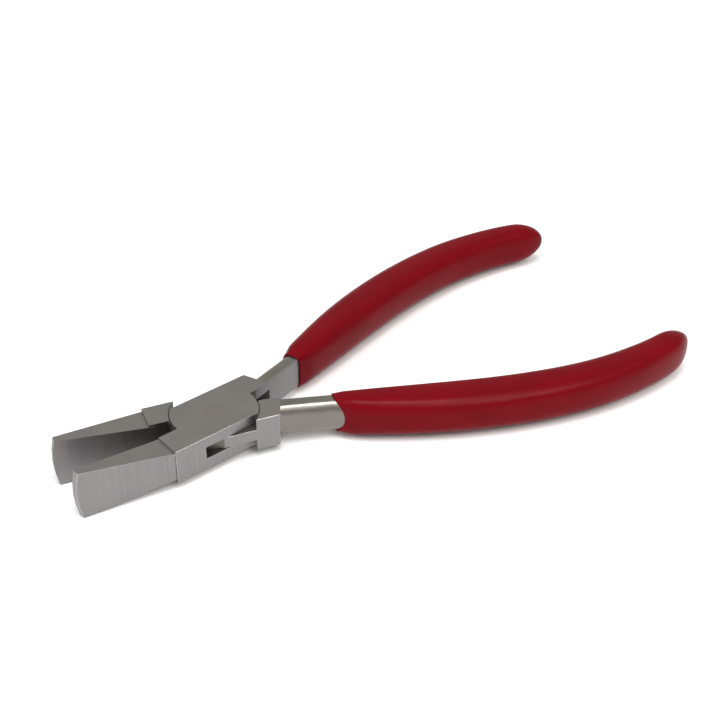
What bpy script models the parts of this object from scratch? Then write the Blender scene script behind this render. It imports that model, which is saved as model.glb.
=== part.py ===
"""Box-joint pliers for jewellery work, with smooth flat jaws and dipped handle grips.

Two forged steel levers cross at a box joint. The box half is slotted, and the web of the lap half
passes through the slot. A rivet, ground flush with both faces of the joint, is the pivot. A grip of
dipped plastic covers each handle.

Frame: +Z up along the pivot axis, the jaws towards -X and the handles towards +X. The origin is on
the pivot axis, at the lower ground face of the joint. Sizes are in metres.

Each lever is drawn closed, with its jaw below the X axis and its handle above it. The lap half is
the same drawing mirrored in Y. The two are then turned about the pivot, one each way, to open them.
"""

import math

import bmesh
import bpy
from mathutils import Vector
from mathutils.geometry import interpolate_bezier

MM = 0.001

# ---- joint ----
JOINT_THICKNESS = 8.2 * MM       # both levers, over the ground faces
JOINT_WIDTH = 13.6 * MM          # over the two sides of the joint
CHEEK_THICKNESS = 2.6 * MM       # each of the box half's two cheeks
CHEEK_RADIUS = 9.8 * MM          # round ends of the cheeks, about the pivot
FRONT_SHOULDER = 14.6 * MM       # pivot to the shoulder where the jaws start
REAR_SHOULDER = 12.8 * MM        # pivot to the outer corner of the rear shoulder
REAR_LEAN = math.radians(22)     # how far the rear shoulder leans from square
INNER_FLAT = 1.75 * MM           # parting face between a cheek's round end and the tang
SLOT_FRONT_WALL = 1.1 * MM       # steel left between the slot and the front shoulder
SLOT_REAR_REACH = 16.2 * MM      # where the slot's rear wall meets the inner face of the tang
WEB_TAPER = math.radians(17)     # how much the web's free edges slope away from the sides
WEB_INSET = 0.3 * MM             # the web's corners lie this far inside the cheeks' round ends
RIVET_RADIUS = 2.5 * MM
BLOCK_STEP = 0.1 * MM            # the block's faces stand this far off the jaw's and the tang's

# ---- jaws ----
JAW_REACH = 35.8 * MM            # pivot to the middle of the crowned tip
TIP_CROWN = 0.8 * MM             # how far the tip's middle stands past its corners
JAW_TIP_HEIGHT = 11.9 * MM
JAW_ROOT_HEIGHT = 7.2 * MM
JAW_TIP_THICKNESS = 1.75 * MM
JAW_ROOT_THICKNESS = 6.3 * MM

# ---- handles, on their centre line ----
TANG_ANGLE = math.radians(14)
TANG_WIDTH = 4.1 * MM
TANG_HEIGHT = 7.9 * MM
CORE_WIDE_WIDTH = 8.7 * MM       # the steel where the handle is widest
CORE_END_WIDTH = 4.6 * MM
EDGE_ACROSS = 2.0 * MM           # elliptical rounding of the long outer edges, and of all inside the grip
EDGE_UP = 3.4 * MM
EDGE_SHARE = 0.49                # the most of the width or height that one rounded edge takes
INNER_EDGE_RADIUS = 0.4 * MM     # long edges of the bare tang's inner face
MOUTH_X = 25.6 * MM              # where the grip starts
WIDE_X = 56.0 * MM
BOW_X = 83.0 * MM                # where the handle is furthest from the centre line
BOW_Y = 18.0 * MM
END_X = 114.2 * MM               # end of the grip
END_Y = 10.3 * MM
END_ANGLE = math.radians(-38)
MOUTH_PULL = 9.0 * MM            # lengths of the curve's tangents at the mouth, bow and end
BOW_FRONT_PULL = 24.0 * MM
BOW_REAR_PULL = 10.0 * MM
END_PULL = 8.0 * MM

# ---- grips ----
GRIP_WALL = 1.0 * MM             # over the steel, with its clearance
GRIP_DOME = 8.0 * MM             # length of the rounded end
CORE_SHORT_OF_END = 0.75         # the steel stops this share of the rounded end before the tip
GRIP_SQUARENESS = 3.0            # exponent of the section: 2 is an ellipse, more is squarer

# ---- clearances ----
PARTING_GAP = 0.24 * MM          # between the two jaws when they are closed
SHOULDER_GAP = 0.25 * MM         # a cheek's round end to the other lever's hollow shoulder
WEB_SIDE_GAP = 0.1 * MM          # the web to each cheek
WEB_END_GAP = 0.25 * MM          # the web's corners to the slot's end walls
RIVET_GAP = 0.08 * MM            # the rivet to its holes
GRIP_GAP = 0.15 * MM             # a grip to the steel inside it

# ---- pose ----
HALF_OPENING = math.radians(8.8)  # each lever is turned this far from closed

# ---- facets ----
ARC_STEP = math.radians(7.5)
CURVE_STEPS = 12                 # on each of the handle's two curved stretches
SHORTEST_STEP = 1.0 * MM         # least distance between two of the handle's stations
DOME_STEPS = 5
SECTION_POINTS = 20
EDGE_SEGMENTS = 6
RIVET_SEGMENTS = 48
HOLLOW_SEGMENTS = 96

# ---- derived ----
MID_PLANE = JOINT_THICKNESS / 2
HALF_WIDTH = JOINT_WIDTH / 2
HALF_GAP = PARTING_GAP / 2
BLOCK_LINE = HALF_GAP + BLOCK_STEP   # the block's own parting face, from the closed centre line
SLOT_HEIGHT = JOINT_THICKNESS - 2 * CHEEK_THICKNESS
WEB_HEIGHT = SLOT_HEIGHT - 2 * WEB_SIDE_GAP
WEB_RADIUS = CHEEK_RADIUS - WEB_INSET
SLOT_RADIUS = WEB_RADIUS + WEB_END_GAP
HOLLOW_RADIUS = CHEEK_RADIUS + SHOULDER_GAP
GRIP_HEIGHT = TANG_HEIGHT + 2 * GRIP_WALL
OVERCUT = 1.0 * MM               # how far a cutter runs past what it cuts
ROOT_OVERLAP = 1.5 * MM          # how far a jaw or tang is let into the joint's block

STEEL = ((0.55, 0.54, 0.53), 0.35, 1.0)
RIVET_STEEL = ((0.50, 0.47, 0.45), 0.35, 1.0)
RED_PLASTIC = ((0.42, 0.01, 0.03), 0.30, 0.0)


# ---- plane geometry ----

def polar(radius, angle):
    """A point at a distance and angle from the pivot."""
    return Vector((radius * math.cos(angle), radius * math.sin(angle)))


def arc(radius, start, end):
    """Points on a circle about the pivot, from one angle to another, both included."""
    count = max(2, round(abs(end - start) / ARC_STEP))
    return [polar(radius, start + (end - start) * i / count) for i in range(count + 1)]


def angle_at_height(radius, height):
    """The angle, under 90 degrees, at which a circle about the pivot reaches a height."""
    return math.asin(height / radius)


def on_circle(start, direction, radius):
    """Where a line from a point inside a circle about the pivot leaves the circle."""
    along = start.dot(direction)
    return start + direction * (math.sqrt(along ** 2 + radius ** 2 - start.length_squared) - along)


def across(along):
    """The direction square to another, on its left."""
    return Vector((-along.y, along.x))


def tangent_point(start, radius):
    """Where the left-hand tangent from a point touches a circle about the pivot."""
    swing = math.acos(radius / start.length)
    return polar(radius, math.atan2(start.y, start.x) + swing)


TANG_ALONG = polar(1, TANG_ANGLE)
TANG_ACROSS = across(TANG_ALONG)
INNER_START = polar(CHEEK_RADIUS, angle_at_height(CHEEK_RADIUS, BLOCK_LINE)) + Vector((INNER_FLAT, 0))


def inner_wall(x):
    """The point at x on the block's rear inner face, which starts at the end of the parting face."""
    return INNER_START + TANG_ALONG * ((x - INNER_START.x) / TANG_ALONG.x)


# ---- outlines of a closed lever ----

def front_shoulder():
    """The front of the block, from its outer side to the parting line."""
    return [Vector((-FRONT_SHOULDER, -HALF_WIDTH)), Vector((-FRONT_SHOULDER, -BLOCK_LINE))]


def rear_shoulder():
    """The rear of the block, from its outer corner down to its inner face."""
    corner = Vector((REAR_SHOULDER, HALF_WIDTH))
    down = polar(1, REAR_LEAN - math.pi / 2)
    drop = (INNER_START - corner).dot(TANG_ACROSS) / down.dot(TANG_ACROSS)
    return [corner, corner + down * drop]


def box_outline():
    """The box half's block, which ends in a round cheek on each side of the lap half."""
    parting = angle_at_height(CHEEK_RADIUS, BLOCK_LINE)
    side = angle_at_height(CHEEK_RADIUS, HALF_WIDTH)
    far_end = arc(CHEEK_RADIUS, math.pi + parting, math.pi - side)
    near_end = arc(CHEEK_RADIUS, parting, -side)
    return front_shoulder() + far_end + rear_shoulder() + [INNER_START] + near_end


def lap_outline():
    """The lap half's block and web. The web's free edges taper to corners on a circle."""
    abeam = Vector((0, -HALF_WIDTH))
    corner = on_circle(abeam, polar(1, WEB_TAPER), WEB_RADIUS)
    corner_angle = math.atan2(corner.y, corner.x)
    parting = angle_at_height(WEB_RADIUS, BLOCK_LINE)
    far_end = arc(WEB_RADIUS, math.pi + parting, math.pi + corner_angle)
    near_end = arc(WEB_RADIUS, parting, corner_angle)
    return front_shoulder() + far_end + [-abeam] + rear_shoulder() + [INNER_START] + near_end + [abeam]


def slot_outline():
    """The slot through the box half: two straight end walls, each touching the web's swept circle."""
    front = Vector((SLOT_FRONT_WALL - FRONT_SHOULDER, -BLOCK_LINE))
    rear = inner_wall(SLOT_REAR_REACH)
    walls = []
    for reach in (front, rear):
        along = (tangent_point(reach, SLOT_RADIUS) - reach).normalized()
        walls += [reach - along * OVERCUT, reach + along * (JOINT_WIDTH + CHEEK_RADIUS)]
    front_in, front_out, rear_in, rear_out = walls
    return [front_in, front_out, Vector((rear_in.x, front_out.y)),
            rear_in, rear_out, Vector((front_in.x, rear_out.y))]


def taper(at_tip, at_root, x):
    """A jaw size at x that runs straight from its value at the tip's corners to that at the root."""
    tip_x, root_x = TIP_CROWN - JAW_REACH, -FRONT_SHOULDER
    return at_tip + (at_root - at_tip) * (x - tip_x) / (root_x - tip_x)


def jaw_plan():
    """The jaw from above: a flat gripping face, and a back that thins towards the tip."""
    ends = (-JAW_REACH - OVERCUT, ROOT_OVERLAP - FRONT_SHOULDER)
    back = [Vector((x, -HALF_GAP - taper(JAW_TIP_THICKNESS, JAW_ROOT_THICKNESS, x))) for x in ends]
    return back + [Vector((ends[1], -HALF_GAP)), Vector((ends[0], -HALF_GAP))]


def jaw_profile():
    """The jaw from the side, about the mid-plane: it deepens towards a crowned tip."""
    half_tip = JAW_TIP_HEIGHT / 2
    crown_radius = (half_tip ** 2 + TIP_CROWN ** 2) / (2 * TIP_CROWN)
    half_angle = math.asin(half_tip / crown_radius)
    centre = Vector((crown_radius - JAW_REACH, 0))
    tip = [centre + p for p in arc(crown_radius, math.pi + half_angle, math.pi - half_angle)]
    root_x = ROOT_OVERLAP - FRONT_SHOULDER
    half_root = taper(JAW_TIP_HEIGHT, JAW_ROOT_HEIGHT, root_x) / 2
    return tip + [Vector((root_x, half_root)), Vector((root_x, -half_root))]


# ---- the handle's centre line and widths ----

def core_width(x):
    """Width of the steel at x: it swells from the tang to the widest point and narrows to the end."""
    if x <= WIDE_X:
        share = min(1.0, (WIDE_X - x) / (WIDE_X - MOUTH_X))
        return CORE_WIDE_WIDTH - (CORE_WIDE_WIDTH - TANG_WIDTH) * share ** 2
    share = (x - WIDE_X) / (END_X - WIDE_X)
    return CORE_WIDE_WIDTH - (CORE_WIDE_WIDTH - CORE_END_WIDTH) * share ** 2


def handle_stations():
    """Points of the centre line from the grip's mouth to its end, each with its direction."""
    centre = INNER_START + TANG_ACROSS * (TANG_WIDTH / 2 + BLOCK_STEP)
    mouth = centre + TANG_ALONG * ((MOUTH_X - centre.x) / TANG_ALONG.x)
    bow, end = Vector((BOW_X, BOW_Y)), Vector((END_X, END_Y))
    level = Vector((1, 0))
    front = interpolate_bezier(mouth, mouth + TANG_ALONG * MOUTH_PULL,
                               bow - level * BOW_FRONT_PULL, bow, CURVE_STEPS + 1)
    rear = interpolate_bezier(bow, bow + level * BOW_REAR_PULL,
                              end - polar(END_PULL, END_ANGLE), end, CURVE_STEPS + 1)
    points = [p.to_2d() for p in front + rear[1:]]
    stations = []
    for i, point in enumerate(points):
        before, after = points[max(i - 1, 0)], points[min(i + 1, len(points) - 1)]
        stations.append((point, (after - before).normalized()))
    stations[0] = (mouth, TANG_ALONG)
    stations[-1] = (end, polar(1, END_ANGLE))
    return stations


def cut_back(stations, length):
    """The stations left when a length is cut off the end, with a new last one at the cut.

    A station just before the cut is left out, so that no face is very short.
    """
    kept = list(stations)
    while length > 0:
        last, previous = kept.pop()[0], kept[-1][0]
        step = (last - previous).length
        if step > length:
            along = (last - previous).normalized()
            if step - length < SHORTEST_STEP:
                kept.pop()
            kept.append((last - along * length, along))
        length -= step
    return kept


def rounded_rectangle(half_width, half_height, inner, outer):
    """The steel handle's section, as distances across and up, with its inner and outer edges' rounding."""
    points = []
    for quarter, (side, up) in enumerate(((1, 1), (-1, 1), (-1, -1), (1, -1))):
        rounding = outer if side > 0 else inner
        middle = Vector((side * (half_width - rounding.x), up * (half_height - rounding.y)))
        for i in range(EDGE_SEGMENTS + 1):
            points.append(middle + polar(1, math.pi / 2 * (quarter + i / EDGE_SEGMENTS)) * rounding)
    return points


def rounded_square(half_width, half_height):
    """A grip's section, as distances across and up."""
    points = []
    for i in range(SECTION_POINTS):
        circle = polar(1, 2 * math.pi * i / SECTION_POINTS)
        across_share, up_share = (math.copysign(abs(s) ** (2 / GRIP_SQUARENESS), s) for s in circle)
        points.append(Vector((half_width * across_share, half_height * up_share)))
    return points


def ring_at(point, along, section):
    """A section set square to the centre line."""
    return [(point + across(along) * p.x).to_3d() + Vector((0, 0, MID_PLANE + p.y)) for p in section]


def handle_rings(grow):
    """The steel handle's rings, from inside the block to its end, or those of the space for it, grown.

    The inner edges are light on the bare tang, whose rings are the first two.
    """
    root = rear_shoulder()[1] + TANG_ACROSS * (TANG_WIDTH / 2 + BLOCK_STEP) - TANG_ALONG * ROOT_OVERLAP
    stations = [(root, TANG_ALONG)] + cut_back(handle_stations(), GRIP_DOME * CORE_SHORT_OF_END)
    end, end_along = stations.pop()
    stations.append((end + end_along * grow, end_along))
    rings = []
    for i, (point, along) in enumerate(stations):
        width = core_width(point.x)
        full = Vector((min(EDGE_ACROSS, EDGE_SHARE * width), min(EDGE_UP, EDGE_SHARE * TANG_HEIGHT)))
        light = Vector((INNER_EDGE_RADIUS, INNER_EDGE_RADIUS))
        grown = Vector((grow, grow))
        inner = light if i < 2 else full
        section = rounded_rectangle(width / 2 + grow, TANG_HEIGHT / 2 + grow, inner + grown, full + grown)
        rings.append(ring_at(point, along, section))
    return rings


def grip_rings():
    """The rings of a grip's outside, the last few shrinking into its rounded end."""
    stations = handle_stations()
    sections = [(point, along, 1.0) for point, along in cut_back(stations, GRIP_DOME)]
    for i in range(1, DOME_STEPS):
        angle = math.pi / 2 * i / DOME_STEPS
        point, along = cut_back(stations, GRIP_DOME * (1 - math.sin(angle)))[-1]
        sections.append((point, along, math.cos(angle)))
    rings = []
    for point, along, scale in sections:
        half_width = (core_width(point.x) / 2 + GRIP_WALL) * scale
        rings.append(ring_at(point, along, rounded_square(half_width, GRIP_HEIGHT / 2 * scale)))
    return rings


# ---- Blender helpers ----

def clear_scene():
    for obj in list(bpy.data.objects):
        bpy.data.objects.remove(obj, do_unlink=True)


def new_collection(name):
    collection = bpy.data.collections.new(name)
    bpy.context.scene.collection.children.link(collection)
    return collection


def new_material(name, finish):
    colour, roughness, metallic = finish
    material = bpy.data.materials.new(name)
    material.use_nodes = True
    shader = material.node_tree.nodes["Principled BSDF"]
    shader.inputs["Base Color"].default_value = (*colour, 1.0)
    shader.inputs["Roughness"].default_value = roughness
    shader.inputs["Metallic"].default_value = metallic
    material.diffuse_color = (*colour, 1.0)
    return material


def add_object(name, mesh, parent, collection):
    obj = bpy.data.objects.new(name, mesh)
    obj.parent = parent
    collection.objects.link(obj)
    return obj


def as_cutter(obj):
    obj.hide_render = True
    obj.display_type = "WIRE"
    return obj


def add_boolean(obj, other, operation):
    modifier = obj.modifiers.new(other.name, "BOOLEAN")
    modifier.object = other
    modifier.operation = operation


def smooth(obj):
    """Shade round faces smooth and keep the edges of flat ones sharp."""
    obj.data.shade_smooth()
    obj.data.set_sharp_from_angle(angle=math.radians(30))


def plate_mesh(name, outline, low, high, upright=False):
    """A flat outline given thickness along Z, or along Y with the outline upright."""
    curve = bpy.data.curves.new(name, "CURVE")
    curve.dimensions = "2D"
    curve.fill_mode = "BOTH"
    curve.extrude = (high - low) / 2
    spline = curve.splines.new("POLY")
    spline.points.add(len(outline) - 1)
    for spline_point, point in zip(spline.points, outline):
        spline_point.co = (point.x, point.y, 0, 1)
    spline.use_cyclic_u = True
    obj = bpy.data.objects.new(name, curve)
    bpy.context.scene.collection.objects.link(obj)
    middle = (low + high) / 2
    if upright:
        obj.rotation_euler.x = math.pi / 2
        obj.location = (0, middle, MID_PLANE)
    else:
        obj.location = (0, 0, middle)
    bpy.context.view_layer.update()
    mesh = bpy.data.meshes.new_from_object(obj.evaluated_get(bpy.context.evaluated_depsgraph_get()))
    mesh.transform(obj.matrix_world)
    bpy.data.objects.remove(obj)
    return tidy_mesh(mesh)


def tidy_mesh(mesh):
    """Weld a curve's loose caps, make each cap one face and point every face outwards."""
    bm = bmesh.new()
    bm.from_mesh(mesh)
    bmesh.ops.remove_doubles(bm, verts=bm.verts, dist=0.001 * MM)
    bmesh.ops.dissolve_limit(bm, angle_limit=math.radians(0.1), verts=bm.verts, edges=bm.edges)
    bmesh.ops.recalc_face_normals(bm, faces=bm.faces)
    bm.to_mesh(mesh)
    bm.free()
    return mesh


def cylinder_mesh(name, radius, low, high, segments):
    """A cylinder on the pivot axis."""
    mesh = bpy.data.meshes.new(name)
    bm = bmesh.new()
    bmesh.ops.create_cone(bm, cap_ends=True, segments=segments, radius1=radius, radius2=radius,
                          depth=high - low)
    bmesh.ops.translate(bm, verts=bm.verts, vec=(0, 0, (low + high) / 2))
    bm.to_mesh(mesh)
    bm.free()
    return mesh


def mirrored(points, hand):
    """The outline as drawn for hand +1, or its mirror image in Y for hand -1."""
    return [Vector((p.x, hand * p.y)) for p in points]


def drawn_mesh(name, rings, hand, tip=None):
    """A closed body drawn through rings of points. It ends in a flat face, or in a point at the tip."""
    mesh = bpy.data.meshes.new(name)
    bm = bmesh.new()
    loops = [[bm.verts.new((p.x, hand * p.y, p.z)) for p in ring] for ring in rings]
    count = len(rings[0])
    for loop, following in zip(loops, loops[1:]):
        for i in range(count):
            j = (i + 1) % count
            bm.faces.new((loop[i], loop[j], following[j], following[i]))
    bm.faces.new(loops[0])
    end = bm.faces.new(loops[-1])
    if tip:
        middle = bmesh.ops.poke(bm, faces=[end])["verts"][0]
        middle.co = (tip.x, hand * tip.y, tip.z)
    bmesh.ops.recalc_face_normals(bm, faces=bm.faces)
    bm.to_mesh(mesh)
    bm.free()
    return mesh


# ---- pieces of one lever; hand is +1 for the box half, -1 for the lap half ----

def make_jaw(name, hand, parent, cutters):
    """A wedge: its upright profile, cut to its plan."""
    back, face = -HALF_GAP - JAW_ROOT_THICKNESS - OVERCUT, -HALF_GAP
    low, high = sorted((hand * back, hand * (face + OVERCUT)))
    profile = plate_mesh(name, jaw_profile(), low, high, upright=True)
    jaw = as_cutter(add_object(name, profile, parent, cutters))
    plan = plate_mesh(f"{name}_plan", mirrored(jaw_plan(), hand),
                      MID_PLANE - JAW_TIP_HEIGHT, MID_PLANE + JAW_TIP_HEIGHT)
    plan_cutter = as_cutter(add_object(f"{name}_plan", plan, parent, cutters))
    add_boolean(jaw, plan_cutter, "INTERSECT")
    return jaw


def make_handle(name, hand, parent, cutters, grow=0.0):
    """The steel of the handle, or the space for it inside a grip, grown by the gap between them."""
    return as_cutter(add_object(name, drawn_mesh(name, handle_rings(grow), hand), parent, cutters))


def make_lever(name, outline, hand, parent, parts, cutters, material):
    """A block with its jaw and its handle joined on, and the pivot's hole through it."""
    mesh = plate_mesh(name, mirrored(outline, hand), 0, JOINT_THICKNESS)
    mesh.materials.append(material)
    lever = add_object(name, mesh, parent, parts)
    add_boolean(lever, make_jaw(f"{name}_jaw", hand, parent, cutters), "UNION")
    add_boolean(lever, make_handle(f"{name}_handle", hand, parent, cutters), "UNION")
    hole = cylinder_mesh(f"{name}_hole", RIVET_RADIUS + RIVET_GAP, -OVERCUT,
                         JOINT_THICKNESS + OVERCUT, RIVET_SEGMENTS)
    add_boolean(lever, as_cutter(add_object(hole.name, hole, parent, cutters)), "DIFFERENCE")
    return lever


def cut_slot(lever, parent, cutters):
    """Open the box half for the web, right through from side to side."""
    mesh = plate_mesh("slot", slot_outline(), CHEEK_THICKNESS, JOINT_THICKNESS - CHEEK_THICKNESS)
    add_boolean(lever, as_cutter(add_object("slot", mesh, parent, cutters)), "DIFFERENCE")


def cut_hollows(lever, parent, cutters):
    """Hollow the lap half above and below its web, to take the box half's cheeks."""
    web_low = MID_PLANE - WEB_HEIGHT / 2
    spans = {"lower_hollow": (-OVERCUT, web_low),
             "upper_hollow": (JOINT_THICKNESS - web_low, JOINT_THICKNESS + OVERCUT)}
    for name, (low, high) in spans.items():
        mesh = cylinder_mesh(name, HOLLOW_RADIUS, low, high, HOLLOW_SEGMENTS)
        add_boolean(lever, as_cutter(add_object(name, mesh, parent, cutters)), "DIFFERENCE")


def make_grip(name, hand, parent, parts, cutters, material):
    """A dipped sleeve with a closed round end, hollow to fit over the steel."""
    mesh = drawn_mesh(name, grip_rings(), hand, Vector((END_X, END_Y, MID_PLANE)))
    mesh.materials.append(material)
    grip = add_object(name, mesh, parent, parts)
    add_boolean(grip, make_handle(f"{name}_space", hand, parent, cutters, GRIP_GAP), "DIFFERENCE")
    return grip


def make_rivet(parent, parts, material):
    """The pivot, as long as the joint is thick, because it is ground flush with it."""
    mesh = cylinder_mesh("pivot_rivet", RIVET_RADIUS, 0, JOINT_THICKNESS, RIVET_SEGMENTS)
    mesh.materials.append(material)
    return add_object("pivot_rivet", mesh, parent, parts)


def make_pivot(name, angle, collection):
    """An empty on the pivot axis that turns a closed lever to where it stands open."""
    empty = add_object(name, None, None, collection)
    empty.rotation_euler.z = angle
    return empty


def main():
    clear_scene()
    parts = new_collection("crimping_pliers")
    cutters = new_collection("cutters")
    steel = new_material("ground_steel", STEEL)
    rivet_steel = new_material("rivet_steel", RIVET_STEEL)
    red = new_material("red_plastic", RED_PLASTIC)

    box_pivot = make_pivot("box_pivot", HALF_OPENING, parts)
    lap_pivot = make_pivot("lap_pivot", -HALF_OPENING, parts)

    box_half = make_lever("box_half", box_outline(), 1, box_pivot, parts, cutters, steel)
    cut_slot(box_half, box_pivot, cutters)
    lap_half = make_lever("lap_half", lap_outline(), -1, lap_pivot, parts, cutters, steel)
    cut_hollows(lap_half, lap_pivot, cutters)
    rivet = make_rivet(box_pivot, parts, rivet_steel)
    box_grip = make_grip("box_half_grip", 1, box_pivot, parts, cutters, red)
    lap_grip = make_grip("lap_half_grip", -1, lap_pivot, parts, cutters, red)
    for obj in (box_half, lap_half, rivet, box_grip, lap_grip):
        smooth(obj)


main()
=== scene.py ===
"""Looks of the box-joint pliers: ground steel levers, a flush rivet and dipped plastic grips.

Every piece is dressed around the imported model, which gives each one its place. The sizes here are
those of the finish: rounded edges, the grips' skin and the studio.
"""
import logging
import math
from dataclasses import dataclass, field
from enum import Enum

import bmesh
import bpy
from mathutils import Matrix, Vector
from mathutils.geometry import interpolate_bezier


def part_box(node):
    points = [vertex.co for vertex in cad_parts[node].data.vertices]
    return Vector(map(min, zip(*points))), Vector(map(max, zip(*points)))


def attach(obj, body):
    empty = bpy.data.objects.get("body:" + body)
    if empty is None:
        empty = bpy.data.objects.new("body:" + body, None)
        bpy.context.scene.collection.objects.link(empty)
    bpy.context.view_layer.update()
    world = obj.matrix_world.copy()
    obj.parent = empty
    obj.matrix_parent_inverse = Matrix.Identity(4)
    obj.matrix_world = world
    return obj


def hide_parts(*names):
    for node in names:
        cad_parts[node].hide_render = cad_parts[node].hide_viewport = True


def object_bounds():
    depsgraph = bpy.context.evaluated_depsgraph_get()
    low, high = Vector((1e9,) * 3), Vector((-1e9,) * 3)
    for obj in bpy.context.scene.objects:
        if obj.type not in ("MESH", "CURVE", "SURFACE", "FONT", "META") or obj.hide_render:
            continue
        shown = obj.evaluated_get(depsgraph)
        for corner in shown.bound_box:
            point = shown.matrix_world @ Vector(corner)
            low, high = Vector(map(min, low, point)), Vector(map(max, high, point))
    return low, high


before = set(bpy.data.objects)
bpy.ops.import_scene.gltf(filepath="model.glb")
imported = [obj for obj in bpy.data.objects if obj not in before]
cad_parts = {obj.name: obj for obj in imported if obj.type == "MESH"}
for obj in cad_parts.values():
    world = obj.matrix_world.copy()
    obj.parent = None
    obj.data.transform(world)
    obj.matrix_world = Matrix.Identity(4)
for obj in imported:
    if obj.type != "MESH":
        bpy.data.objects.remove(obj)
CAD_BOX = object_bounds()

MM = 0.001
JOINT_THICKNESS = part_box("pivot_rivet")[1].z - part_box("pivot_rivet")[0].z
MID_PLANE = JOINT_THICKNESS / 2
RIVET_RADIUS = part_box("pivot_rivet")[1].x
HALF_OPENING = math.radians(8.8)
TANG_ANGLE = math.radians(14)
MERGE_DISTANCE = 0.002 * MM
FLAT_FACES = math.radians(40)

log = logging.getLogger("pliers")


class Hand(Enum):
    """Which lever a piece belongs to. The value is its side of the centre line, seen from above."""

    BOX = 1
    LAP = -1


class Zone(Enum):
    """Face attributes that tell a lever's material where it is."""

    # Rubbed edges, painted lighter: partly real rubbing, partly a painted highlight.
    WORN_EDGE_AND_HIGHLIGHT = "worn_edge_and_highlight"
    BARE_HANDLE = "bare_handle"
    # Faces inside the joint, which get painted shade.
    JOINT_SHADED = "joint_shaded"
    GRIPPING_FACE = "gripping_face"


# ---- modelling helpers ----

def deselect_all() -> None:
    """Leave nothing selected, so that the next operator acts on its own object only."""
    bpy.ops.object.select_all(action="DESELECT")


def make_active(piece: bpy.types.Object) -> None:
    """Select one object alone and make it the active one.

    Args:
        piece: the object that the next operators act on.
    """
    deselect_all()
    piece.select_set(True)
    bpy.context.view_layer.objects.active = piece


def edit_bmesh(piece: bpy.types.Object) -> bmesh.types.BMesh:
    """The mesh of a piece in edit mode.

    Args:
        piece: an object that is in edit mode.

    Returns:
        Its edit mesh, with the lookup tables ready.
    """
    bm = bmesh.from_edit_mesh(piece.data)
    bm.verts.ensure_lookup_table()
    bm.edges.ensure_lookup_table()
    bm.faces.ensure_lookup_table()
    return bm


def turned(point: Vector, angle: float) -> Vector:
    """A point turned about the pivot.

    Args:
        point: a point in the plane of the joint.
        angle: the turn, anticlockwise from above, in radians.

    Returns:
        The turned point.
    """
    cos, sin = math.cos(angle), math.sin(angle)
    return Vector((point.x * cos - point.y * sin, point.x * sin + point.y * cos))


def shade_flats(piece: bpy.types.Object, angle: float) -> None:
    """Shade a piece smooth up to an angle and keep its large flats flat.

    Args:
        piece: the finished object.
        angle: edges sharper than this stay sharp, in radians.
    """
    make_active(piece)
    bpy.ops.object.shade_smooth_by_angle(angle=angle)
    weighted = piece.modifiers.new("flat_faces", "WEIGHTED_NORMAL")
    weighted.keep_sharp = True
    bpy.ops.object.modifier_apply(modifier=weighted.name)


# ---- shader helpers ----

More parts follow.
